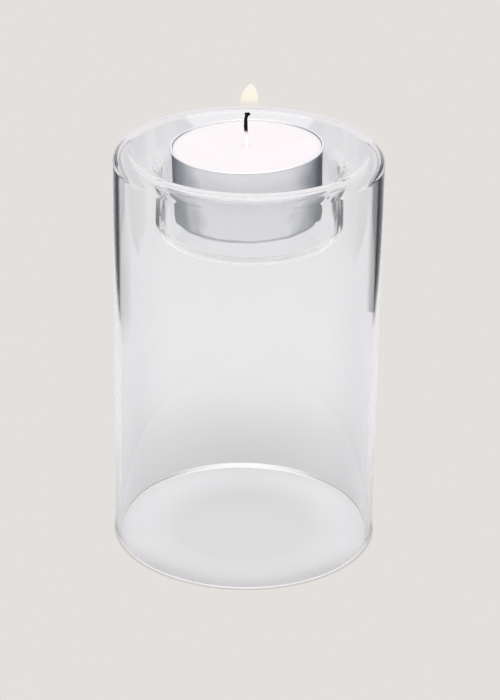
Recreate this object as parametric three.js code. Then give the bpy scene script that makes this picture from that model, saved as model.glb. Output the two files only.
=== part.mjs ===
// A glass tealight holder with its tealight.
//
// The holder is one piece of clear glass: a tube that is open at the bottom, folded inwards at its top,
// sloped down as a short funnel and carried on as a cup with a domed floor. A tealight stands in the cup:
// a drawn aluminium cup, a puck of wax and a wick that a small steel sustainer holds upright.
//
// Millimetres, +Z up. The origin is the centre of the base, on the plane that the glass stands on.

import * as THREE from 'three';

// Glass holder
const TUBE_RADIUS = 33.5;
const HOLDER_HEIGHT = 105;
const GLASS_WALL = 1.5;
const SHOULDER_RADIUS = 3.3;
const BASE_EDGE_RADIUS = 0.5;
const CREST_RADIUS = 29.4;
const CREST_ROUNDING = 2.4;
const FUNNEL_DROP = 4.9;
const NECK_BORE_RADIUS = 21.8;
const LIP_ROUNDING = 3.5;
const BELLY_BORE_RADIUS = 22.35;
const CUP_WALL = 1.3;
const CUP_CORNER_RADIUS = 2.7;
const CUP_UNDERSIDE_HEIGHT = 82.8;
const CUP_FLOOR_HEIGHT = 84.3;
const DOME_RADIUS = 15;
const DOME_RISE = 2.65;

// Tealight
const TEALIGHT_RADIUS = 19;
const TEALIGHT_HEIGHT = 18.65;
const TEALIGHT_TILT_DEG = 1.7;
const SEAT_GAP = 0.3;
const FOIL_WALL = 0.2;
const FOIL_DRAFT = 0.35;
const RIM_BEAD_RADIUS = 0.2;
const FOIL_CORNER_RADIUS = 2;
const PUCK_GAP = 0.15;
const WAX_BELOW_RIM = 0.7;

// Wick and sustainer
const WICK_RADIUS = 0.6;
const WICK_ABOVE_WAX = 9.4;
const WICK_HOOK = 1;
const WICK_SWAY = 0.15;
const SUSTAINER_RADIUS = 6.5;
const SUSTAINER_PLATE = 0.4;
const SUSTAINER_COLLAR_RADIUS = 1.6;
const SUSTAINER_COLLAR_HEIGHT = 3;
const PART_GAP = 0.3;

// Fineness of the round surfaces
const TURN_SEGMENTS = 64;
const ARC_STEP_DEG = 18;

const materials = {
  clearGlass: new THREE.MeshStandardMaterial({
    color: 0xf2f5f6, roughness: 0.03, metalness: 0, transparent: true, opacity: 0.3,
  }),
  aluminium: new THREE.MeshStandardMaterial({ color: 0xd3d3d7, roughness: 0.35, metalness: 1 }),
  wax: new THREE.MeshStandardMaterial({ color: 0xfbf6f7, roughness: 0.45, metalness: 0 }),
  charredCotton: new THREE.MeshStandardMaterial({ color: 0x17120f, roughness: 0.9, metalness: 0 }),
  tinnedSteel: new THREE.MeshStandardMaterial({ color: 0xb9babd, roughness: 0.4, metalness: 1 }),
};

// The points of a lathe outline, as (radius, height), from corners that are each [radius, height, rounding].
// A corner with a rounding becomes an arc that runs smoothly into the straight runs on both sides of it.
function roundedOutline(corners) {
  const points = [];
  corners.forEach(([radius, height, rounding = 0], i) => {
    const corner = new THREE.Vector2(radius, height);
    if (!rounding) {
      points.push(corner);
      return;
    }
    const arriving = new THREE.Vector2(...corners[i - 1]).sub(corner).normalize();
    const leaving = new THREE.Vector2(...corners[i + 1]).sub(corner).normalize();
    const halfAngle = Math.acos(THREE.MathUtils.clamp(arriving.dot(leaving), -1, 1)) / 2;
    const turn = Math.PI - 2 * halfAngle;
    const middle = arriving.clone().add(leaving).normalize();
    const centre = corner.clone().addScaledVector(middle, rounding / Math.sin(halfAngle));
    const start = corner.clone().addScaledVector(arriving, rounding / Math.tan(halfAngle)).sub(centre);
    const side = Math.sign(arriving.x * leaving.y - arriving.y * leaving.x);
    const steps = Math.max(2, Math.ceil(THREE.MathUtils.radToDeg(turn) / ARC_STEP_DEG));
    for (let k = 0; k <= steps; k += 1) {
      const spoke = start.clone().rotateAround(new THREE.Vector2(), (-side * turn * k) / steps);
      points.push(centre.clone().add(spoke));
    }
  });
  return points;
}

// A solid of revolution about +Z. The corners run with the material on their left.
function turned(corners) {
  return new THREE.LatheGeometry(roundedOutline(corners), TURN_SEGMENTS).rotateX(Math.PI / 2);
}

function named(name, geometry, material) {
  const mesh = new THREE.Mesh(geometry, material);
  mesh.name = name;
  return mesh;
}

// One piece of glass: the cup's underside from its centre, up the cup's outside, under the funnel and the
// fold, down the tube's inside, round the base edge, up the tube's outside, over the shoulder and the crest,
// down the funnel into the cup and back across its domed floor.
function glassHolder() {
  const tubeInside = TUBE_RADIUS - GLASS_WALL;
  const underFold = HOLDER_HEIGHT - GLASS_WALL;
  const slope = FUNNEL_DROP / (CREST_RADIUS - NECK_BORE_RADIUS);
  const funnelTop = (radius) => HOLDER_HEIGHT - slope * (CREST_RADIUS - radius);
  const wallDown = GLASS_WALL * Math.hypot(1, slope);
  const crestBelow = CREST_RADIUS + (wallDown - GLASS_WALL) / slope;
  const neckOutside = NECK_BORE_RADIUS + CUP_WALL;
  const bellyOutside = BELLY_BORE_RADIUS + CUP_WALL;
  return turned([
    [0, CUP_UNDERSIDE_HEIGHT + DOME_RISE],
    [DOME_RADIUS / 3, CUP_UNDERSIDE_HEIGHT + DOME_RISE, DOME_RADIUS],
    [DOME_RADIUS, CUP_UNDERSIDE_HEIGHT, DOME_RADIUS / 2],
    [bellyOutside, CUP_UNDERSIDE_HEIGHT, CUP_CORNER_RADIUS + CUP_WALL],
    [neckOutside, funnelTop(neckOutside) - wallDown, LIP_ROUNDING + CUP_WALL],
    [crestBelow, underFold, CREST_ROUNDING - GLASS_WALL],
    [tubeInside, underFold, SHOULDER_RADIUS - GLASS_WALL],
    [tubeInside, 0, BASE_EDGE_RADIUS],
    [TUBE_RADIUS, 0, BASE_EDGE_RADIUS],
    [TUBE_RADIUS, HOLDER_HEIGHT, SHOULDER_RADIUS],
    [CREST_RADIUS, HOLDER_HEIGHT, CREST_ROUNDING],
    [NECK_BORE_RADIUS, funnelTop(NECK_BORE_RADIUS), LIP_ROUNDING],
    [BELLY_BORE_RADIUS, CUP_FLOOR_HEIGHT, CUP_CORNER_RADIUS],
    [DOME_RADIUS, CUP_FLOOR_HEIGHT, DOME_RADIUS / 2],
    [DOME_RADIUS / 3, CUP_FLOOR_HEIGHT + DOME_RISE, DOME_RADIUS],
    [0, CUP_FLOOR_HEIGHT + DOME_RISE],
  ]);
}

// The drawn cup, from the centre of its underside: a thin wall with a little draft and a bead rolled outwards.
function tealightCup() {
  const footRadius = TEALIGHT_RADIUS - 2 * RIM_BEAD_RADIUS - FOIL_DRAFT;
  const wallTop = TEALIGHT_RADIUS - 2 * RIM_BEAD_RADIUS;
  const beadUnderside = TEALIGHT_HEIGHT - 2 * RIM_BEAD_RADIUS;
  return turned([
    [0, 0],
    [footRadius, 0, FOIL_CORNER_RADIUS],
    [wallTop, beadUnderside],
    [TEALIGHT_RADIUS, beadUnderside, RIM_BEAD_RADIUS],
    [TEALIGHT_RADIUS, TEALIGHT_HEIGHT, RIM_BEAD_RADIUS],
    [wallTop - FOIL_WALL, TEALIGHT_HEIGHT, FOIL_WALL / 2],
    [footRadius - FOIL_WALL, FOIL_WALL, FOIL_CORNER_RADIUS - FOIL_WALL],
    [0, FOIL_WALL],
  ]);
}

// The puck: pressed wax with a hole for the wick, opened out below for the sustainer's collar and plate.
function waxPuck() {
  const under = FOIL_WALL + PUCK_GAP;
  const top = TEALIGHT_HEIGHT - WAX_BELOW_RIM;
  const topRadius = TEALIGHT_RADIUS - 2 * RIM_BEAD_RADIUS - FOIL_WALL - PUCK_GAP;
  const footRadius = topRadius - FOIL_DRAFT;
  const plateTop = under + SUSTAINER_PLATE + PART_GAP;
  const collarTop = under + SUSTAINER_COLLAR_HEIGHT + PART_GAP;
  const wickHole = WICK_RADIUS + PART_GAP;
  const collarHole = SUSTAINER_COLLAR_RADIUS + PART_GAP;
  const plateHole = SUSTAINER_RADIUS + PART_GAP;
  return turned([
    [plateHole, under],
    [footRadius, under, FOIL_CORNER_RADIUS - FOIL_WALL],
    [topRadius, top, PUCK_GAP],
    [wickHole, top],
    [wickHole, collarTop],
    [collarHole, collarTop],
    [collarHole, plateTop],
    [plateHole, plateTop],
    [plateHole, under],
  ]);
}

// The steel tab under the wick: a round plate with a collar raised in its middle.
function wickSustainer() {
  const under = FOIL_WALL + PUCK_GAP;
  const bore = WICK_RADIUS + PART_GAP / 3;
  return turned([
    [bore, under],
    [SUSTAINER_RADIUS, under],
    [SUSTAINER_RADIUS, under + SUSTAINER_PLATE],
    [SUSTAINER_COLLAR_RADIUS, under + SUSTAINER_PLATE],
    [SUSTAINER_COLLAR_RADIUS, under + SUSTAINER_COLLAR_HEIGHT],
    [bore, under + SUSTAINER_COLLAR_HEIGHT],
    [bore, under],
  ]);
}

// The wick: straight through the sustainer and the wax, swaying a little above it and hooked over at its tip.
function wick() {
  const under = FOIL_WALL + PUCK_GAP;
  const waxTop = TEALIGHT_HEIGHT - WAX_BELOW_RIM;
  const tipHeight = waxTop + WICK_ABOVE_WAX;
  const centreLine = new THREE.CatmullRomCurve3([
    new THREE.Vector3(0, 0, under),
    new THREE.Vector3(0, 0, (under + waxTop) / 2),
    new THREE.Vector3(0, 0, waxTop + WICK_RADIUS),
    new THREE.Vector3(-WICK_SWAY, 0, waxTop + WICK_ABOVE_WAX * 0.6),
    new THREE.Vector3(WICK_SWAY, 0, tipHeight - 4 * WICK_RADIUS),
    new THREE.Vector3(WICK_HOOK, 0, tipHeight - WICK_RADIUS),
  ]);
  const section = new THREE.Shape();
  section.absarc(0, 0, WICK_RADIUS, 0, 2 * Math.PI);
  return new THREE.ExtrudeGeometry(section, {
    extrudePath: centreLine, steps: 28, curveSegments: 10, bevelEnabled: false,
  });
}

const holder = new THREE.Group();
holder.add(named('glass_holder', glassHolder(), materials.clearGlass));

// The tealight stands on the domed floor of the glass cup, tilted a little to one side.
const tealight = new THREE.Group();
tealight.position.set(0, 0, CUP_FLOOR_HEIGHT + DOME_RISE + SEAT_GAP);
tealight.rotation.y = -THREE.MathUtils.degToRad(TEALIGHT_TILT_DEG);
tealight.add(
  named('tealight_cup', tealightCup(), materials.aluminium),
  named('wax', waxPuck(), materials.wax),
  named('wick_sustainer', wickSustainer(), materials.tinnedSteel),
  named('wick', wick(), materials.charredCotton),
);
holder.add(tealight);

export default holder;
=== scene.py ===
"""A clear glass tealight holder with a lit tealight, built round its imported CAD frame.

The glass is one smooth turned solid. The tealight is a drawn aluminium cup, a wax puck, a wick of twisted
strands that is charred and forked at its tip, a steel sustainer inside the wax, and a flame. Sizes are in
metres, and directions are the frame's: +Z up, +X to the right and +Y away from the viewer.
"""
import math

import bpy
import numpy as np
from mathutils import Matrix, Vector, noise


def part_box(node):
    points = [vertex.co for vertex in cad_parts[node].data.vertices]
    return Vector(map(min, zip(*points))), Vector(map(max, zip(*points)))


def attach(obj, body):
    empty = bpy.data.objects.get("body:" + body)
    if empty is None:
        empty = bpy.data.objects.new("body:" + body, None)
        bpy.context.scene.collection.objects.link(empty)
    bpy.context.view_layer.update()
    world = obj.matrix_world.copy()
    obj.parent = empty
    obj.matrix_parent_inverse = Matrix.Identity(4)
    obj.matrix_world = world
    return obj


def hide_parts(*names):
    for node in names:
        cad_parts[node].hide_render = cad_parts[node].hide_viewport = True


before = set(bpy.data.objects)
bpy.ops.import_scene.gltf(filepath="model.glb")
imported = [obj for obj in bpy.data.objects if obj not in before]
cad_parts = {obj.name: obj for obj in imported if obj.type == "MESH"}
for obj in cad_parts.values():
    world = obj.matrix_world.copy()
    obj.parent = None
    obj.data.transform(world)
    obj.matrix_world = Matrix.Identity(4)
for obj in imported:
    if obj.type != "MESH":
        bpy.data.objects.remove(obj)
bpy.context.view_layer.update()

MM = 0.001
ON_AXIS = 1e-7

# Glass, as in the CAD node's outline but for a crisper base edge
GLASS_WALL = 1.5 * MM
SHOULDER_RADIUS = 3.3 * MM
BASE_EDGE_RADIUS = 0.35 * MM
CREST_RADIUS = 29.4 * MM
CREST_ROUNDING = 2.4 * MM
NECK_BORE_RADIUS = 21.8 * MM
BELLY_BORE_RADIUS = 22.35 * MM
CUP_WALL = 1.3 * MM
FUNNEL_DROP = 4.9 * MM
LIP_ROUNDING = 3.5 * MM
CUP_UNDERSIDE = 82.8 * MM
CUP_FLOOR = 84.3 * MM
CUP_CORNER = 2.7 * MM
FLOOR_DOME = 2.65 * MM
DOME_RADIUS = 15.0 * MM
GLASS_STEP = 1.4 * MM
GLASS_SEGMENTS = 240

# Hand-worked unevenness of the glass cup, which fades in under the lip
CUP_LEAN = 0.35 * MM
CUP_SWELL = 0.2 * MM
CUP_SWELL_SCALE = 110
CUP_RIPPLE = 0.08 * MM
CUP_RIPPLE_SCALE = 420
LIP_EVEN = 2 * MM
LIP_FADE = 4 * MM

# How the glass carries light
GLASS_IOR = 1.47
GLASS_TINT = (0.985, 0.99, 0.99)
# Painted shade: the tube's wall is coloured greyer where it is seen at a slant
GLASS_SLANT_SHADE = (0.92, 0.92, 0.925)
GLASS_SHADOW = [(0.0, 0.965), (0.6, 0.95), (0.9, 0.8), (1.0, 0.5)]
# Past this many bounces the glass glows with painted light
GUIDED_BOUNCES = 14
# A painted highlight: the foot of the tube's inner face glows, in place of light carried down the wall
GLOW_TOP = 1.9 * MM
GLOW_COLOUR = (1.0, 0.99, 0.99)
GLOW_STRENGTH = 1.05
GLOW_BAND = [(0.14, 0.0), (0.24, 1.0), (0.8, 1.0), (1.0, 0.0)]

# Tealight, in its own tilted frame
TEALIGHT_TILT = math.radians(1.7)
SEAT_GAP = 0.3 * MM
TEALIGHT_RADIUS = 19.0 * MM
TEALIGHT_HEIGHT = 18.65 * MM

# Its aluminium cup
FOIL_WALL = 0.2 * MM
FOIL_DRAFT = 0.35 * MM
FOIL_CORNER_RADIUS = 2.0 * MM
RIM_BEAD_RADIUS = 0.2 * MM
RIM_NECK_ROUNDING = 0.15 * MM
FOIL_FLATS = 0.12 * MM
FOIL_CREASES = 0.3 * MM
FOIL_STEP = 0.9 * MM
FOIL_SEGMENTS = 192
# A faint painted glow on the lower foil where it faces the viewer
FOIL_GLOW = 0.09
FOIL_GLOW_COLOUR = (1.0, 0.99, 1.0)
# Painted shade to painted light on the foil, from turned away to facing the viewer or overhead; its dents
# add random tone
FOIL_SHADE_TO_LIGHT_TONES = [
    (0.38, (0.3, 0.33, 0.36)),
    (0.62, (0.44, 0.48, 0.51)),
    (0.78, (0.68, 0.7, 0.72)),
    (0.92, (0.97, 0.97, 0.985)),
]

# Its wax
WAX_TOP = TEALIGHT_HEIGHT - 0.7 * MM
WAX_SIDE_GAP = 0.1 * MM
WAX_LIFT = 0.45 * MM
WAX_EDGE_RISE = 0.5 * MM
WAX_EDGE_WIDTH = 0.6 * MM
WAX_EDGE_CURVE = 1.0 * MM
WAX_CONE_RISE = 0.35 * MM
WAX_CONE_RADIUS = 1.3 * MM
WAX_SWELL = 0.06 * MM
WAX_STEP = 0.6 * MM
WAX_SEGMENTS = 160
WAX_TONES = [(0.35, (0.82, 0.785, 0.795)), (0.65, (0.835, 0.795, 0.8))]
# A faint painted glow on the wax
WAX_GLOW = 0.02
WAX_GLOW_COLOUR = (1.0, 0.95, 0.96)

# Its wick and sustainer
WICK_LIFT = 0.15 * MM
WICK_ABOVE_WAX = 9.4 * MM
WICK_SWAY = 0.2 * MM
WICK_FORK_BELOW_TIP = 2.0 * MM
WICK_HOOK = 1.0 * MM
WICK_FORK_BACK = 0.05 * MM
WICK_STRANDS = 4
STRAND_RADIUS = 0.28 * MM
STRAND_OFFSET = 0.2 * MM
STRAND_LAY = 4.5 * MM
STRAND_SIDES = 12
STRAND_RINGS_IN_WAX = 30
STRAND_RINGS_ABOVE = 90
STRAND_TIP = (1.15, 1.25, 1.2, 0.95, 0.55)
HOOK_SWELLING = 1.25
WICK_WHITE = 3.4 * MM
WICK_SINGED = 1.6 * MM
WICK_RAGGED = 0.9 * MM
WICK_TONES = [
    (0.0, (0.93, 0.9, 0.9)),
    (0.3, (0.84, 0.74, 0.73)),
    (0.5, (0.4, 0.29, 0.26)),
    (0.6, (0.008, 0.006, 0.006)),
]
# Painted light: the soaked white part of the wick glows faintly
WICK_GLOW = [(0.0, 0.2), (0.35, 0.06), (0.5, 0.0)]
STEEL_TONES = [(0.3, (0.5, 0.51, 0.52)), (0.7, (0.66, 0.67, 0.68))]
SUSTAINER_LIFT = 0.05 * MM
SUSTAINER_RADIUS = 6.5 * MM
SUSTAINER_BORE = 0.7 * MM
SUSTAINER_PLATE = 0.4 * MM
COLLAR_RADIUS = 1.6 * MM
COLLAR_HEIGHT = 3.0 * MM
COLLAR_FOOT = 1.2 * MM
COLLAR_PINCH = (0.15, -0.3)
SUSTAINER_STEP = 0.5 * MM
SUSTAINER_SEGMENTS = 96

# Flame, over the wick's tip
FLAME_RADIUS = 2.35 * MM
FLAME_LOW = 113.2 * MM
FLAME_WIDEST = 116.1 * MM
FLAME_TIP = 121.8 * MM
FLAME_SET_BACK = 0.35 * MM
FLAME_LEAN = 0.6 * MM
FLAME_STEPS = 48
FLAME_SEGMENTS = 64
FLAME_TONES = [
    (0.3, (0.88, 0.82, 0.79)),
    (0.52, (0.91, 0.83, 0.74)),
    (0.66, (0.99, 0.92, 0.76)),
    (1.0, (0.985, 0.94, 0.86)),
]
FLAME_CORE = [(0.26, 0.0), (0.5, 0.42), (0.62, 0.8), (0.72, 0.97)]
FLAME_SHELL = [(0.26, 0.0), (0.46, 0.65), (0.62, 0.97)]

# Camera, with its angles in radians
CAMERA_DISTANCE = 651.2 * MM
CAMERA_PITCH = 0.4385
CAMERA_ROLL = 0.0151
CAMERA_LENS_MM = 131.8
CAMERA_SENSOR_MM = 36
CAMERA_SIDE_STEP = 0.956 * MM
CAMERA_TARGET_SHARE = 0.4811

# Studio: backdrop, light from around and overhead, upright cards as (near foot, far foot), and softboxes
BACKGROUND = (0.776, 0.745, 0.723)
SURROUND = (0.83, 0.805, 0.83)
OVERHEAD = (0.93, 0.915, 0.915)
AMBIENT_SHARE = 0.7
CARD_HEIGHT = 100 * MM
BLACK_CARD = ((112 * MM, 98 * MM), (81 * MM, 214 * MM))
BLACK_TONES = [(0.0, (0.055, 0.058, 0.066)), (0.35, (0.07, 0.073, 0.08)), (1.0, (0.34, 0.34, 0.35))]
SIDE_CARD = ((147 * MM, 83 * MM), (118 * MM, 110 * MM))
SIDE_TONES = [(0.0, (0.06, 0.06, 0.075)), (1.0, (0.06, 0.06, 0.07))]
PALE_CARD = ((140 * MM, 50 * MM), (104 * MM, 90 * MM))
PALE_TONES = [(0.0, (0.42, 0.42, 0.44)), (1.0, (0.36, 0.36, 0.38))]
NO_HAZE = [(0.0, 0.0), (1.0, 0.0)]
PALE_HAZE = [(0.0, 1.0), (0.1, 0.1), (0.22, 0.0), (0.5, 0.85), (0.9, 1.0)]
KEY_PLACE = (0, -0.05, 0.7)
KEY_SIZE = 0.6
KEY_RADIANCE = 1.7
FILL_PLACE = (0, -0.25, 0.6)
FILL_SIZE = 0.28
FILL_RADIANCE = 3.0

# Floor, just under the glass; its shades are how much light each ring of it sends back, with painted light
# and shade in them
FLOOR_HALF_SIDE = 4.0
FLOOR_DROP = 0.02 * MM
FLOOR_SHADE = 0.84
FLOOR_SPILL = 1.0
FLOOR_CONTACT_SHADE = 0.76
FLOOR_RIM_SHADOW = 0.3
FLOOR_FRONT_SHADES = (0.87, 0.86, 0.75)
FLOOR_SHADE_REACH = 80 * MM
FLOOR_FADE_FROM = 250 * MM
FLOOR_FADE_TO = 600 * MM
# A thin painted contact shadow on the backdrop round the glass's foot
CONTACT_SHADOW_LINE = [(0.35, 1.0), (0.45, 0.68), (0.6, 0.78), (0.8, 1.0)]

LIGHT_BOUNCES = 24

TUBE_RADIUS, _, HOLDER_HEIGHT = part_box("glass_holder")[1]
TEALIGHT_FRAME = (
    Matrix.Translation((0, 0, CUP_FLOOR + FLOOR_DOME + SEAT_GAP))
    @ Matrix.Rotation(-TEALIGHT_TILT, 4, "Y")
)


# ---------------------------------------------------------------- mesh helpers

def rounded_outline(corners, step_deg=4.0):
    """Points (radius, height) from corners (radius, height, rounding); a rounding becomes an arc."""
    points = []
    for i, corner in enumerate(corners):
        rounding = corner[2] if len(corner) > 2 else 0
        here = Vector(corner[:2])
        if not rounding:
            points.append(here)
            continue
        arriving = (Vector(corners[i - 1][:2]) - here).normalized()
        leaving = (Vector(corners[i + 1][:2]) - here).normalized()
        half_angle = math.acos(max(-1, min(1, arriving.dot(leaving)))) / 2
        centre = here + (arriving + leaving).normalized() * (rounding / math.sin(half_angle))
        spoke = here + arriving * (rounding / math.tan(half_angle)) - centre
        side = math.copysign(1, arriving.x * leaving.y - arriving.y * leaving.x)
        turn = -side * (math.pi - 2 * half_angle)
        steps = max(2, math.ceil(abs(math.degrees(turn)) / step_deg))
        for k in range(steps + 1):
            points.append(centre + Matrix.Rotation(turn * k / steps, 2) @ spoke)
    return points


def spaced(outline, longest):
    """The outline with its long straight runs cut into steps no longer than `longest`."""
    points = [outline[0]]
    for before, after in zip(outline, outline[1:]):
        steps = max(1, math.ceil((after - before).length / longest))
        points += [before.lerp(after, k / steps) for k in range(1, steps + 1)]
    return points


def new_object(name, vertices, faces, smooth=True):
    """A mesh object at the origin, so that its vertices are in the frame's own coordinates."""
    mesh = bpy.data.meshes.new(name)
    mesh.from_pydata(vertices, [], faces)
    mesh.polygons.foreach_set("use_smooth", [smooth] * len(mesh.polygons))
    mesh.update()
    piece = bpy.data.objects.new(name, mesh)
    bpy.context.scene.collection.objects.link(piece)
    return piece


def turned(name, outline, segments, closed=False, shift=None):
    """A turned solid about +Z. The outline starts and ends on the axis, or closes on itself.

    shift(vertex) returns a small offset for that vertex, for hand-made unevenness.
    """
    vertices, rings = [], []
    for radius, height in outline:
        if radius < ON_AXIS:
            rings.append([len(vertices)])
            vertices.append(Vector((0, 0, height)))
            continue
        rings.append(list(range(len(vertices), len(vertices) + segments)))
        for k in range(segments):
            angle = 2 * math.pi * k / segments
            vertices.append(Vector((radius * math.cos(angle), radius * math.sin(angle), height)))
    if shift:
        vertices = [v + shift(v) for v in vertices]
    faces = []
    pairs = list(zip(rings, rings[1:]))
    if closed:
        pairs.append((rings[-1], rings[0]))
    for lower, upper in pairs:
        for k in range(segments):
            n = (k + 1) % segments
            if len(lower) == 1:
                faces.append((lower[0], upper[n], upper[k]))
            elif len(upper) == 1:
                faces.append((lower[k], lower[n], upper[0]))
            else:
                faces.append((lower[k], lower[n], upper[n], upper[k]))
    return new_object(name, vertices, faces)


def share_between(value, low, high):
    """0 at `low`, 1 at `high`, straight between them and held beyond them."""
    return max(0.0, min(1.0, (value - low) / (high - low)))


def outward(v, amount):
    """An offset by this amount away from the axis."""
    return Vector((v.x, v.y, 0)).normalized() * amount


def finish_piece(piece, material, body, node=None):
    """Gives a piece its material and body, and hides the CAD node that it stands for."""
    piece.data.materials.append(material)
    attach(piece, body)
    if node:
        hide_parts(node)


# ------------------------------------------------------------- material helpers

class Shader:
    """A small wrapper that builds one node material, or the world's nodes."""

    def __init__(self, name, owner=None):
        self.material = owner or bpy.data.materials.new(name)
        self.material.use_nodes = True
        self.tree = self.material.node_tree
        self.tree.nodes.clear()
        self.output = self.add("ShaderNodeOutputWorld" if owner else "ShaderNodeOutputMaterial")

    def add(self, kind, inputs=None, **settings):
        node = self.tree.nodes.new(kind)
        for key, value in settings.items():
            setattr(node, key, value)
        for key, value in (inputs or {}).items():
            self.feed(node.inputs[key], value)
        return node

    def feed(self, socket, value):
        """Links another node's output, or sets a plain value; a colour may leave out its alpha."""
        if isinstance(value, bpy.types.NodeSocket):
            self.tree.links.new(value, socket)
        elif hasattr(socket.default_value, "__len__") and len(socket.default_value) == 4 and len(value) == 3:
            socket.default_value = (*value, 1)
        else:
            socket.default_value = value

    def surface(self, socket):
        self.feed(self.output.inputs["Surface"], socket)


def maths(shader, operation, *values, clamp=False):
    node = shader.add("ShaderNodeMath", operation=operation, use_clamp=clamp)
    for i, value in enumerate(values):
        shader.feed(node.inputs[i], value)
    return node.outputs[0]


def product(shader, first, *others):
    """All the values multiplied together."""
    for other in others:
        first = maths(shader, "MULTIPLY", first, other)
    return first


def rescaled(shader, value, before, after=(0.0, 1.0)):
    """The value moved from the range `before` to the range `after`, and held at its ends."""
    node = shader.add("ShaderNodeMapRange", {
        "Value": value,
        "From Min": before[0],
        "From Max": before[1],
        "To Min": after[0],
        "To Max": after[1],
    })
    return node.outputs[0]


def along(shader, vector, axis):
    """One coordinate of a vector: "X", "Y" or "Z"."""
    return shader.add("ShaderNodeSeparateXYZ", {"Vector": vector}).outputs[axis]


def agreement(shader, first, second):
    """The dot product of two directions: 1 where they agree, 0 where they are square to each other."""
    node = shader.add("ShaderNodeVectorMath", {0: first, 1: second}, operation="DOT_PRODUCT")
    return node.outputs["Value"]


def own_place(shader):
    """A point's place in its piece's own coordinates, which are the frame's at rest."""
    return shader.add("ShaderNodeTexCoord").outputs["Object"]


def grazing(shader):
    """0 where a surface is seen square on, up to 1 where it is seen along."""
    return shader.add("ShaderNodeLayerWeight", {"Blend": 0.5}).outputs["Facing"]


def emission(shader, colour, strength=1.0):
    return shader.add("ShaderNodeEmission", {"Color": colour, "Strength": strength}).outputs[0]


def bump(shader, height, strength, distance, below=None):
    """A bumped normal, on top of another one if `below` is given."""
    inputs = {"Height": height, "Strength": strength, "Distance": distance}
    if below:
        inputs["Normal"] = below
    return shader.add("ShaderNodeBump", inputs).outputs[0]


def principled(shader, **inputs):
    """The general surface; an input's name is written with _ for its spaces."""
    named = {key.replace("_", " "): value for key, value in inputs.items()}
    return shader.add("ShaderNodeBsdfPrincipled", named).outputs[0]


def mix_shaders(shader, factor, first, second):
    return shader.add("ShaderNodeMixShader", {0: factor, 1: first, 2: second}).outputs[0]


def mix_colours(shader, factor, first, second, blend="MIX"):
    inputs = {"Fac": factor, "Color1": first, "Color2": second}
    return shader.add("ShaderNodeMixRGB", inputs, blend_type=blend).outputs[0]


def ramp(shader, factor, stops):
    """A colour ramp; stops are (position, (r, g, b)) or (position, grey)."""
    node = shader.add("ShaderNodeValToRGB", {"Fac": factor})
    elements = node.color_ramp.elements
    while len(elements) < len(stops):
        elements.new(0.5)
    for element, (position, colour) in zip(elements, stops):
        element.position = position
        element.color = (*colour, 1) if hasattr(colour, "__len__") else (colour, colour, colour, 1)
    return node.outputs["Color"]


def object_noise(shader, scale, detail=3, stretch=(1, 1, 1)):
    """Noise in the piece's own coordinates; scale is in turns per metre, stretched along the axes."""
    mapping = shader.add("ShaderNodeMapping", {"Vector": own_place(shader), "Scale": stretch})
    inputs = {"Vector": mapping.outputs[0], "Scale": scale, "Detail": detail, "Roughness": 0.5}
    return shader.add("ShaderNodeTexNoise", inputs).outputs["Fac"]


# ----------------------------------------------------------------------- glass

def glass_outline():
    """From under the cup's floor out to the tube's inner wall, round the base edge and back into the cup."""
    tube_inside = TUBE_RADIUS - GLASS_WALL
    slope = FUNNEL_DROP / (CREST_RADIUS - NECK_BORE_RADIUS)
    wall_down = GLASS_WALL * math.hypot(1, slope)

    def funnel(radius):
        return HOLDER_HEIGHT - slope * (CREST_RADIUS - radius)

    neck_outside = NECK_BORE_RADIUS + CUP_WALL
    belly_outside = BELLY_BORE_RADIUS + CUP_WALL
    under_crest = HOLDER_HEIGHT - GLASS_WALL
    crest_below = CREST_RADIUS + (wall_down - GLASS_WALL) / slope
    return rounded_outline([
        (0, CUP_UNDERSIDE + FLOOR_DOME),
        (DOME_RADIUS / 3, CUP_UNDERSIDE + FLOOR_DOME, DOME_RADIUS),
        (DOME_RADIUS, CUP_UNDERSIDE, DOME_RADIUS / 2),
        (belly_outside, CUP_UNDERSIDE, CUP_CORNER + CUP_WALL),
        (neck_outside, funnel(neck_outside) - wall_down, LIP_ROUNDING + CUP_WALL),
        (crest_below, under_crest, CREST_ROUNDING - GLASS_WALL),
        (tube_inside, under_crest, SHOULDER_RADIUS - GLASS_WALL),
        (tube_inside, 0, BASE_EDGE_RADIUS),
        (TUBE_RADIUS, 0, BASE_EDGE_RADIUS),
        (TUBE_RADIUS, HOLDER_HEIGHT, SHOULDER_RADIUS),
        (CREST_RADIUS, HOLDER_HEIGHT, CREST_ROUNDING),
        (NECK_BORE_RADIUS, funnel(NECK_BORE_RADIUS), LIP_ROUNDING),
        (BELLY_BORE_RADIUS, CUP_FLOOR, CUP_CORNER),
        (DOME_RADIUS, CUP_FLOOR, DOME_RADIUS / 2),
        (DOME_RADIUS / 3, CUP_FLOOR + FLOOR_DOME, DOME_RADIUS),
        (0, CUP_FLOOR + FLOOR_DOME),
    ])


def glass_unevenness(v):
    """The hand-worked cup wanders a little more than the drawn tube does, and leans to one side."""
    cup_edge = TUBE_RADIUS - 2 * GLASS_WALL
    in_cup = share_between(math.hypot(v.x, v.y), cup_edge, cup_edge - GLASS_WALL)
    below_lip = share_between(v.z, HOLDER_HEIGHT - LIP_EVEN, HOLDER_HEIGHT - LIP_EVEN - LIP_FADE)
    worked = in_cup * below_lip
    swell = CUP_SWELL * noise.noise(v * CUP_SWELL_SCALE)
    ripple = CUP_RIPPLE * noise.noise(Vector((v.x, v.y, v.z / 2)) * CUP_RIPPLE_SCALE)
    return outward(v, worked * (swell + ripple)) + Vector((worked * CUP_LEAN, 0, 0))


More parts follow.
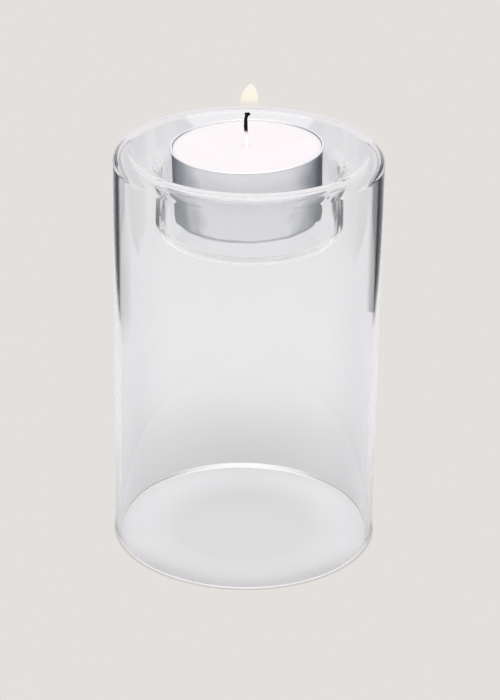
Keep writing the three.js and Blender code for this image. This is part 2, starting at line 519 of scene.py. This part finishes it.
def glass_material():
    """Refracting glass. Shadow and diffuse rays go straight through it, dimmed by its slant."""
    shader = Shader("clear_glass")
    draw_lines = object_noise(shader, 260, detail=2, stretch=(1, 1, 0.06))
    smears = object_noise(shader, 60, detail=4)
    glass = principled(
        shader,
        Base_Color=tint_and_slant_shade(shader),
        Transmission_Weight=1.0,
        IOR=GLASS_IOR,
        Roughness=rescaled(shader, smears, (0.5, 0.8), (0.0, 0.012)),
        Normal=bump(shader, draw_lines, 0.012, 0.2 * MM),
    )
    path = shader.add("ShaderNodeLightPath")
    # Painted light: rays trapped past many bounces see the glass glow
    trapped = maths(shader, "GREATER_THAN", path.outputs["Ray Depth"], GUIDED_BOUNCES)
    seen = mix_shaders(shader, trapped, glass, guided_light(shader))
    # Painted highlight: the foot of the inner face glows
    seen = mix_shaders(shader, painted_base_highlight(shader), seen, emission(shader, GLOW_COLOUR, GLOW_STRENGTH))
    straight = maths(shader, "MAXIMUM", path.outputs["Is Shadow Ray"], path.outputs["Is Diffuse Ray"])
    shade = ramp(shader, grazing(shader), GLASS_SHADOW)
    clear = shader.add("ShaderNodeBsdfTransparent", {"Color": shade})
    shader.surface(mix_shaders(shader, straight, seen, clear.outputs[0]))
    return shader.material


def guided_light(shader):
    """A painted glow in the surround's colour, or the light overhead's, for light that stays trapped in the
    wall.
    """
    rise = along(shader, shader.add("ShaderNodeNewGeometry").outputs["Incoming"], "Z")
    upward = rescaled(shader, rise, (0.0, -0.5))
    return emission(shader, mix_colours(shader, upward, SURROUND, OVERHEAD))


def tint_and_slant_shade(shader):
    """Clear glass with painted shade, a little greyer where the tube's wall is seen at a slant, partly as
    through more of it.
    """
    height = along(shader, own_place(shader), "Z")
    below_cup = rescaled(shader, height, (0.7 * HOLDER_HEIGHT, 0.85 * HOLDER_HEIGHT), (1.0, 0.0))
    lie = along(shader, shader.add("ShaderNodeNewGeometry").outputs["Normal"], "Z")
    upright = maths(shader, "SUBTRACT", 1.0, maths(shader, "ABSOLUTE", lie))
    slant = rescaled(shader, grazing(shader), (0.28, 0.5))
    amount = product(shader, upright, slant, below_cup)
    return mix_colours(shader, amount, GLASS_TINT, GLASS_SLANT_SHADE)


def painted_base_highlight(shader):
    """Where a painted highlight glows at the foot of the inner face, standing in for the light carried down
    the wall.
    """
    geometry = shader.add("ShaderNodeNewGeometry").outputs
    climb = maths(shader, "DIVIDE", along(shader, geometry["Position"], "Z"), GLOW_TOP)
    low = ramp(shader, climb, GLOW_BAND)
    # The inner face's normal points at the axis, so there this is minus its radius.
    away_from_axis = agreement(shader, geometry["Normal"], geometry["Position"])
    inner = maths(shader, "LESS_THAN", away_from_axis, -0.3 * TUBE_RADIUS)
    facing = agreement(shader, geometry["Normal"], geometry["Incoming"])
    square_on = rescaled(shader, facing, (0.7, 0.9))
    front = maths(shader, "SUBTRACT", 1.0, geometry["Backfacing"])
    return product(shader, low, inner, square_on, front)


def build_glass():
    outline = spaced(glass_outline(), GLASS_STEP)
    glass = turned("glass_body", outline, GLASS_SEGMENTS, shift=glass_unevenness)
    finish_piece(glass, glass_material(), "holder", "glass_holder")


# -------------------------------------------------------------- aluminium cup

def aluminium_material():
    """Brushed foil with painted light and shade in its colour: bright where it faces the viewer or the light
    overhead, and dark where it turns away.
    """
    shader = Shader("aluminium")
    marks = object_noise(shader, 900, detail=3, stretch=(1, 1, 0.05))
    dents = object_noise(shader, 90, detail=2)
    fine = bump(shader, marks, 0.12, 0.05 * MM)
    geometry = shader.add("ShaderNodeNewGeometry").outputs
    # Painted light and shade: the colour follows how squarely the foil faces the viewer or the sky, plus
    # random dents
    facing = agreement(shader, geometry["Normal"], geometry["Incoming"])
    flat = maths(shader, "ABSOLUTE", along(shader, geometry["Normal"], "Z"))
    lit_side = maths(shader, "MAXIMUM", facing, flat)
    colour = ramp(shader, maths(shader, "MULTIPLY_ADD", dents, 0.3, lit_side), FOIL_SHADE_TO_LIGHT_TONES)
    # Painted light: the lower foil glows faintly where it faces the viewer
    fade = (CUP_FLOOR + 0.55 * TEALIGHT_HEIGHT, CUP_FLOOR + 0.85 * TEALIGHT_HEIGHT)
    low_painted_glow = rescaled(shader, along(shader, own_place(shader), "Z"), fade, (FOIL_GLOW, 0.0))
    towards = ramp(shader, facing, [(0.55, 0.0), (0.8, 1.0)])
    shader.surface(principled(
        shader,
        Base_Color=colour,
        Metallic=1.0,
        Roughness=rescaled(shader, marks, (0.0, 1.0), (0.36, 0.5)),
        Normal=bump(shader, dents, 0.25, 0.3 * MM, below=fine),
        Emission_Color=FOIL_GLOW_COLOUR,
        Emission_Strength=product(shader, low_painted_glow, towards),
    ))
    return shader.material


def foil_dents(v):
    """Thin foil is never quite round: broad flats, and small creases low on the wall."""
    wall = share_between(math.hypot(v.x, v.y), 0.7 * TEALIGHT_RADIUS, 0.9 * TEALIGHT_RADIUS)
    free = share_between(v.z, TEALIGHT_HEIGHT, TEALIGHT_HEIGHT - 2 * MM)
    low = max(0.0, 1 - v.z / (0.6 * TEALIGHT_HEIGHT))
    flats = FOIL_FLATS * noise.noise(v * 90)
    creases = FOIL_CREASES * (abs(noise.noise(v * 260)) - 0.2)
    return outward(v, wall * free * (flats + creases * low))


def build_foil_cup():
    wall_top = TEALIGHT_RADIUS - 2 * RIM_BEAD_RADIUS
    foot = wall_top - FOIL_DRAFT
    bead_under = TEALIGHT_HEIGHT - 2 * RIM_BEAD_RADIUS
    outline = rounded_outline([
        (0, 0),
        (foot, 0, FOIL_CORNER_RADIUS),
        (wall_top, bead_under, RIM_NECK_ROUNDING),
        (TEALIGHT_RADIUS, bead_under, RIM_BEAD_RADIUS),
        (TEALIGHT_RADIUS, TEALIGHT_HEIGHT, RIM_BEAD_RADIUS),
        (wall_top - FOIL_WALL, TEALIGHT_HEIGHT, FOIL_WALL / 2),
        (foot - FOIL_WALL, FOIL_WALL, FOIL_CORNER_RADIUS - FOIL_WALL),
        (0, FOIL_WALL),
    ], step_deg=10)
    cup = turned("foil_cup", spaced(outline, FOIL_STEP), FOIL_SEGMENTS, shift=foil_dents)
    cup.data.transform(TEALIGHT_FRAME)
    finish_piece(cup, aluminium_material(), "tealight", "tealight_cup")


# ------------------------------------------------------------------------- wax

def wax_material():
    """White wax that lets a little light in under its surface, and glows faintly with painted light."""
    shader = Shader("wax")
    grain = object_noise(shader, 700, detail=4)
    swirl = object_noise(shader, 120, detail=2)
    shader.surface(principled(
        shader,
        Base_Color=ramp(shader, swirl, WAX_TONES),
        Subsurface_Weight=0.35,
        Subsurface_Radius=(1.0, 0.8, 0.7),
        Subsurface_Scale=1.5 * MM,
        Roughness=rescaled(shader, grain, (0.0, 1.0), (0.3, 0.45)),
        Normal=bump(shader, grain, 0.12, 0.05 * MM),
        Emission_Color=WAX_GLOW_COLOUR,
        Emission_Strength=WAX_GLOW,
    ))
    return shader.material


def wax_swell(v):
    """The cast top is very slightly uneven, and rises to the wick in a small cone."""
    near_top = max(0.0, 1 - abs(v.z - WAX_TOP) / MM)
    cone = WAX_CONE_RISE * math.exp(-((math.hypot(v.x, v.y) / WAX_CONE_RADIUS) ** 2))
    return Vector((0, 0, near_top * (WAX_SWELL * noise.noise(v * 130) + cone)))


def build_wax():
    under = FOIL_WALL + WAX_LIFT
    radius = TEALIGHT_RADIUS - 2 * RIM_BEAD_RADIUS - FOIL_WALL - WAX_SIDE_GAP
    outline = rounded_outline([
        (0, under),
        (radius - FOIL_DRAFT, under, FOIL_CORNER_RADIUS),
        (radius, WAX_TOP + WAX_EDGE_RISE, 0.1 * MM),
        (radius - WAX_EDGE_WIDTH, WAX_TOP, WAX_EDGE_CURVE),
        (0, WAX_TOP),
    ], step_deg=10)
    wax = turned("wax_puck", spaced(outline, WAX_STEP), WAX_SEGMENTS, shift=wax_swell)
    wax.data.transform(TEALIGHT_FRAME)
    finish_piece(wax, wax_material(), "candle", "wax")


# -------------------------------------------------------- wick, sustainer, flame

def swept(centres, radii, sides, vertices, faces):
    """Adds a closed rope along the centres, with a radius at each, to the vertices and faces."""
    first = len(vertices)
    for i, (centre, radius) in enumerate(zip(centres, radii)):
        before, after = centres[max(0, i - 1)], centres[min(len(centres) - 1, i + 1)]
        heading = (after - before).normalized()
        across = heading.cross(Vector((0, 1, 0))).normalized()
        up = heading.cross(across)
        for k in range(sides):
            angle = 2 * math.pi * k / sides
            vertices.append(centre + (across * math.cos(angle) + up * math.sin(angle)) * radius)
    for i in range(len(centres) - 1):
        for k in range(sides):
            n = (k + 1) % sides
            low, high = first + i * sides, first + (i + 1) * sides
            faces.append((low + n, low + k, high + k, high + n))
    last = first + (len(centres) - 1) * sides
    faces.append(tuple(first + k for k in range(sides)))
    faces.append(tuple(last + k for k in reversed(range(sides))))


def wick_centre(strand, above_wax):
    """Where a strand's own line runs; the strands part into a fork just under the tip."""
    share = max(0.0, above_wax) / WICK_ABOVE_WAX
    sway = -WICK_SWAY * math.sin(0.8 * math.pi * share)
    past_fork = above_wax - (WICK_ABOVE_WAX - WICK_FORK_BELOW_TIP)
    fork = max(0.0, past_fork) / WICK_FORK_BELOW_TIP
    part = WICK_HOOK if in_hook(strand) else -WICK_FORK_BACK
    turn = 2 * math.pi * (strand / WICK_STRANDS + above_wax / STRAND_LAY)
    spread = STRAND_OFFSET * (1 - fork / 2)
    return Vector((
        sway + part * fork + spread * math.cos(turn),
        spread * math.sin(turn),
        WAX_TOP + above_wax,
    ))


def in_hook(strand):
    """Half of the strands bend over into the fork's long side."""
    return strand >= WICK_STRANDS // 2


def wick_material():
    """White where the wick is soaked, singed above that and charred black to the tip; the soaked part also
    glows faintly with painted light.
    """
    shader = Shader("charred_cotton")
    height = along(shader, own_place(shader), "Z")
    ragged = maths(shader, "MULTIPLY_ADD", object_noise(shader, 1400), WICK_RAGGED, height)
    burnt_from = CUP_FLOOR + FLOOR_DOME + SEAT_GAP + TEALIGHT_HEIGHT + WICK_WHITE
    share = rescaled(shader, ragged, (burnt_from, burnt_from + WICK_SINGED))
    colour = ramp(shader, share, WICK_TONES)
    fibres = object_noise(shader, 2600, detail=2, stretch=(1, 1, 0.3))
    shader.surface(principled(
        shader,
        Base_Color=colour,
        Roughness=0.85,
        Specular_IOR_Level=0.15,
        Normal=bump(shader, fibres, 0.6, 0.08 * MM),
        Emission_Color=colour,
        Emission_Strength=ramp(shader, share, WICK_GLOW),
    ))
    return shader.material


def build_wick():
    """The strands run close together from inside the wax, and each ends in a small knob."""
    bottom = FOIL_WALL + WICK_LIFT - WAX_TOP
    heights = np.concatenate([
        np.linspace(bottom, -0.2 * MM, STRAND_RINGS_IN_WAX),
        np.linspace(0, WICK_ABOVE_WAX - STRAND_RADIUS, STRAND_RINGS_ABOVE),
    ])
    vertices, faces = [], []
    for strand in range(WICK_STRANDS):
        centres = [wick_centre(strand, height) for height in heights]
        offset = Vector((strand, 0, 0))
        radii = [STRAND_RADIUS * (1 + 0.25 * noise.noise(c * 1500 + offset)) for c in centres]
        swollen = HOOK_SWELLING if in_hook(strand) else 1.0
        radii[-len(STRAND_TIP):] = [STRAND_RADIUS * share * swollen for share in STRAND_TIP]
        swept(centres, radii, STRAND_SIDES, vertices, faces)
    wick = new_object("wick_braid", vertices, faces)
    wick.data.transform(TEALIGHT_FRAME)
    finish_piece(wick, wick_material(), "candle", "wick")


def steel_material():
    shader = Shader("tinned_steel")
    marks = object_noise(shader, 1500, detail=3, stretch=(1, 0.1, 1))
    shader.surface(principled(
        shader,
        Base_Color=ramp(shader, marks, STEEL_TONES),
        Metallic=1.0,
        Roughness=0.38,
        Normal=bump(shader, marks, 0.2, 0.03 * MM),
    ))
    return shader.material


def collar_pinch(v):
    """The collar is pinched flat on two sides to grip the wick; the plate round it stays flat."""
    if math.hypot(v.x, v.y) > 2 * COLLAR_RADIUS:
        return Vector((0, 0, 0))
    pinched = share_between(v.z, COLLAR_FOOT, COLLAR_FOOT + COLLAR_HEIGHT / 2)
    return Vector((v.x * COLLAR_PINCH[0], v.y * COLLAR_PINCH[1], 0)) * pinched


def build_sustainer():
    under = FOIL_WALL + SUSTAINER_LIFT
    top = under + SUSTAINER_PLATE
    outline = rounded_outline([
        (SUSTAINER_BORE, under),
        (SUSTAINER_RADIUS, under, SUSTAINER_PLATE / 3),
        (SUSTAINER_RADIUS, top, SUSTAINER_PLATE / 3),
        (COLLAR_RADIUS, top, 0.4 * MM),
        (COLLAR_RADIUS * 0.9, under + COLLAR_HEIGHT, 0.15 * MM),
        (SUSTAINER_BORE, under + COLLAR_HEIGHT, 0.1 * MM),
        (SUSTAINER_BORE, under),
    ], step_deg=15)
    ring = spaced(outline, SUSTAINER_STEP)[:-1]
    tab = turned("wick_tab", ring, SUSTAINER_SEGMENTS, closed=True, shift=collar_pinch)
    tab.data.transform(TEALIGHT_FRAME)
    finish_piece(tab, steel_material(), "candle", "wick_sustainer")


def flame_material():
    """Bright and solid towards the tip, a thin glowing shell round a dim cone low down."""
    shader = Shader("flame")
    height = along(shader, own_place(shader), "Z")
    wander = maths(shader, "MULTIPLY_ADD", object_noise(shader, 260, detail=1), 0.8 * MM, height)
    rise = rescaled(shader, wander, (FLAME_LOW, FLAME_TIP))
    geometry = shader.add("ShaderNodeNewGeometry").outputs
    facing = agreement(shader, geometry["Normal"], geometry["Incoming"])
    limb = ramp(shader, facing, [(0.3, 1.0), (0.85, 0.0)])
    soft_edge = ramp(shader, facing, [(0.0, 0.0), (0.45, 1.0)])
    body = mix_colours(shader, limb, ramp(shader, rise, FLAME_CORE), ramp(shader, rise, FLAME_SHELL))
    alpha = mix_colours(shader, 1.0, body, soft_edge, blend="MULTIPLY")
    front = maths(shader, "SUBTRACT", alpha, geometry["Backfacing"], clamp=True)
    clear = shader.add("ShaderNodeBsdfTransparent", {"Color": (1, 1, 1)})
    glow = emission(shader, ramp(shader, rise, FLAME_TONES))
    shader.surface(mix_shaders(shader, front, clear.outputs[0], glow))
    return shader.material


def build_flame():
    """A drop that is round below its widest place, tapers to a tip and leans a little."""
    outline = [Vector((0, FLAME_LOW))]
    for k in range(1, FLAME_STEPS):
        height = FLAME_LOW + (FLAME_TIP - FLAME_LOW) * k / FLAME_STEPS
        if height < FLAME_WIDEST:
            share = (FLAME_WIDEST - height) / (FLAME_WIDEST - FLAME_LOW)
            radius = FLAME_RADIUS * math.sqrt(1 - share**2.5)
        else:
            share = (height - FLAME_WIDEST) / (FLAME_TIP - FLAME_WIDEST)
            radius = FLAME_RADIUS * (1 - share**2.3) ** 0.7
        outline.append(Vector((radius, height)))
    outline.append(Vector((0, FLAME_TIP)))

    def lean(v):
        share = max(0.0, v.z - FLAME_LOW) / (FLAME_TIP - FLAME_LOW)
        return Vector((FLAME_LEAN * share**1.5 - FLAME_SET_BACK, 0, 0))

    flame = turned("flame", outline, FLAME_SEGMENTS, shift=lean)
    flame.visible_shadow = False
    flame.visible_diffuse = False
    finish_piece(flame, flame_material(), "candle")


# ------------------------------------------------------------- stage and camera

def camera_only(name, seen, hidden):
    """A material that is a flat backdrop to the camera and another surface to every other ray."""
    shader = Shader(name)
    path = shader.add("ShaderNodeLightPath")
    flat = emission(shader, seen(shader))
    shader.surface(mix_shaders(shader, path.outputs["Is Camera Ray"], hidden(shader), flat))
    return shader.material


def from_axis(shader):
    """How far a point on the floor is from the glass's axis."""
    return shader.add("ShaderNodeVectorMath", {0: own_place(shader)}, operation="LENGTH").outputs["Value"]


def painted_contact_shadow(shader):
    """The backdrop's colour, with a thin painted shadow line where the glass meets the floor."""
    beyond = rescaled(shader, from_axis(shader), (TUBE_RADIUS - MM, TUBE_RADIUS + MM))
    shade = ramp(shader, beyond, CONTACT_SHADOW_LINE)
    return mix_colours(shader, 1.0, shade, BACKGROUND, blend="MULTIPLY")


def spilled_light(shader):
    """The floor as the glass shows it, with painted light and shade: lighter inside the tube with painted
    spilled light, and darker under the rim and just outside with painted shadow.

    Its front has a darker painted shade than its back, and far away it fades into the surround, so it has no
    horizon.
    """
    radius = from_axis(shader)
    reach = maths(shader, "DIVIDE", radius, FLOOR_SHADE_REACH)
    rim = TUBE_RADIUS / FLOOR_SHADE_REACH
    back = ramp(shader, reach, [
        (0.0, FLOOR_SHADE),
        (rim * 0.5, FLOOR_SHADE),
        (rim * 0.85, FLOOR_SPILL),
        (rim * 0.965, FLOOR_SPILL),
        (rim * 0.975, FLOOR_RIM_SHADOW),
        (rim * 1.01, FLOOR_RIM_SHADOW),
        (rim * 1.025, FLOOR_CONTACT_SHADE),
        (1.0, FLOOR_SHADE),
    ])
    front = ramp(shader, reach, [
        (rim * 0.5, FLOOR_SHADE),
        *zip((rim * 0.66, rim * 0.8, rim * 0.92), FLOOR_FRONT_SHADES),
        (rim * 1.025, FLOOR_CONTACT_SHADE),
        (1.0, FLOOR_SHADE),
    ])
    # Painted shade: the floor's front, towards the viewer, is darker
    away = along(shader, own_place(shader), "Y")
    in_front = rescaled(shader, away, (-0.3 * TUBE_RADIUS, -0.7 * TUBE_RADIUS))
    near = shader.add("ShaderNodeBsdfDiffuse", {"Color": mix_colours(shader, in_front, back, front)})
    distance = rescaled(shader, radius, (FLOOR_FADE_FROM, FLOOR_FADE_TO))
    return mix_shaders(shader, distance, near.outputs[0], emission(shader, SURROUND))


def build_stage():
    side = FLOOR_HALF_SIDE
    corners = [(-side, -side, 0), (side, -side, 0), (side, side, 0), (-side, side, 0)]
    floor = new_object("floor", corners, [(0, 1, 2, 3)], smooth=False)
    floor.location.z = -FLOOR_DROP
    floor.data.materials.append(camera_only("floor", painted_contact_shadow, spilled_light))


def build_world():
    """Even light from all round, softer on matt surfaces, and the plain backdrop where the camera looks."""
    world = bpy.data.worlds.new("studio")
    bpy.context.scene.world = world
    shader = Shader("studio", owner=world)
    path = shader.add("ShaderNodeLightPath").outputs
    strength = rescaled(shader, path["Is Diffuse Ray"], (0.0, 1.0), (1.0, AMBIENT_SHARE))
    light = shader.add("ShaderNodeBackground", {"Color": SURROUND, "Strength": strength})
    backdrop = shader.add("ShaderNodeBackground", {"Color": BACKGROUND})
    shader.surface(mix_shaders(shader, path["Is Camera Ray"], light.outputs[0], backdrop.outputs[0]))


def build_camera():
    """Looks at the middle of the holder from the front and above, rolled very slightly."""
    data = bpy.data.cameras.new("camera")
    camera = bpy.data.objects.new("camera", data)
    bpy.context.scene.collection.objects.link(camera)
    target = Vector((CAMERA_SIDE_STEP, 0, CAMERA_TARGET_SHARE * HOLDER_HEIGHT))
    back = Vector((0, -math.cos(CAMERA_PITCH), math.sin(CAMERA_PITCH)))
    camera.location = target + back * CAMERA_DISTANCE
    aim = (-back).to_track_quat("-Z", "Y")
    camera.rotation_mode = "QUATERNION"
    camera.rotation_quaternion = aim @ Matrix.Rotation(CAMERA_ROLL, 3, "Z").to_quaternion()
    data.sensor_width = CAMERA_SENSOR_MM
    data.lens = CAMERA_LENS_MM
    data.clip_start = 0.01
    data.clip_end = 20
    bpy.context.scene.camera = camera
    return camera


def build_studio(camera):
    """Softboxes, and the cards that show in the glass, on a turntable that keeps facing the camera."""
    studio = bpy.data.objects.new("studio", None)
    bpy.context.scene.collection.objects.link(studio)
    follow = studio.constraints.new("LOCKED_TRACK")
    follow.target = camera
    follow.track_axis = "TRACK_NEGATIVE_Y"
    follow.lock_axis = "LOCK_Z"

    add_card("black_card_left", studio, -1, BLACK_CARD, BLACK_TONES)
    add_card("black_card_right", studio, 1, BLACK_CARD, BLACK_TONES)
    add_card("side_card_right", studio, 1, SIDE_CARD, SIDE_TONES)
    add_card("pale_card_left", studio, -1, PALE_CARD, PALE_TONES, PALE_HAZE)
    add_softbox("key_light", studio, KEY_PLACE, KEY_SIZE, KEY_RADIANCE)
    fill = add_softbox("fill_light", studio, FILL_PLACE, FILL_SIZE, FILL_RADIANCE)
    fill.visible_glossy = False
    fill.visible_transmission = False


def add_card(name, studio, side, plan, tones, haze=NO_HAZE):
    """An upright card over a line on the floor, seen only in the glass and the metal.

    Its tones run from its near edge to its far one. Its haze, from foot to top, is how much of the
    surround is mixed into them.
    """
    (near_x, near_y), (far_x, far_y) = plan
    feet = [(side * near_x, near_y, 0), (side * far_x, far_y, 0)]
    tops = [(x, y, CARD_HEIGHT) for x, y, _ in reversed(feet)]
    card = new_object(name, feet + tops, [(0, 1, 2, 3)], smooth=False)
    shader = Shader(name)
    place = shader.add("ShaderNodeTexCoord").outputs["Generated"]
    tone = ramp(shader, along(shader, place, "Y"), tones)
    mist = ramp(shader, along(shader, place, "Z"), haze)
    shader.surface(emission(shader, mix_colours(shader, mist, tone, SURROUND)))
    card.data.materials.append(shader.material)
    card.parent = studio
    card.visible_camera = False
    card.visible_diffuse = False
    card.visible_shadow = False


def add_softbox(name, studio, place, size, radiance):
    """A square softbox aimed at the tealight; its power follows from how bright its face is."""
    lamp = bpy.data.lights.new(name, "AREA")
    lamp.shape = "SQUARE"
    lamp.size = size
    lamp.energy = radiance * math.pi * size**2
    light = bpy.data.objects.new(name, lamp)
    bpy.context.scene.collection.objects.link(light)
    light.location = place
    light.rotation_mode = "QUATERNION"
    aim = Vector((0, 0, HOLDER_HEIGHT)) - light.location
    light.rotation_quaternion = aim.to_track_quat("-Z", "Y")
    light.parent = studio
    return light


build_glass()
build_foil_cup()
build_wax()
build_sustainer()
build_wick()
build_flame()
build_stage()
build_world()
build_studio(build_camera())

scene = bpy.context.scene
scene.view_settings.view_transform = "Standard"
scene.view_settings.look = "None"
for limit in ("max_bounces", "transmission_bounces", "glossy_bounces", "transparent_max_bounces"):
    setattr(scene.cycles, limit, LIGHT_BOUNCES)
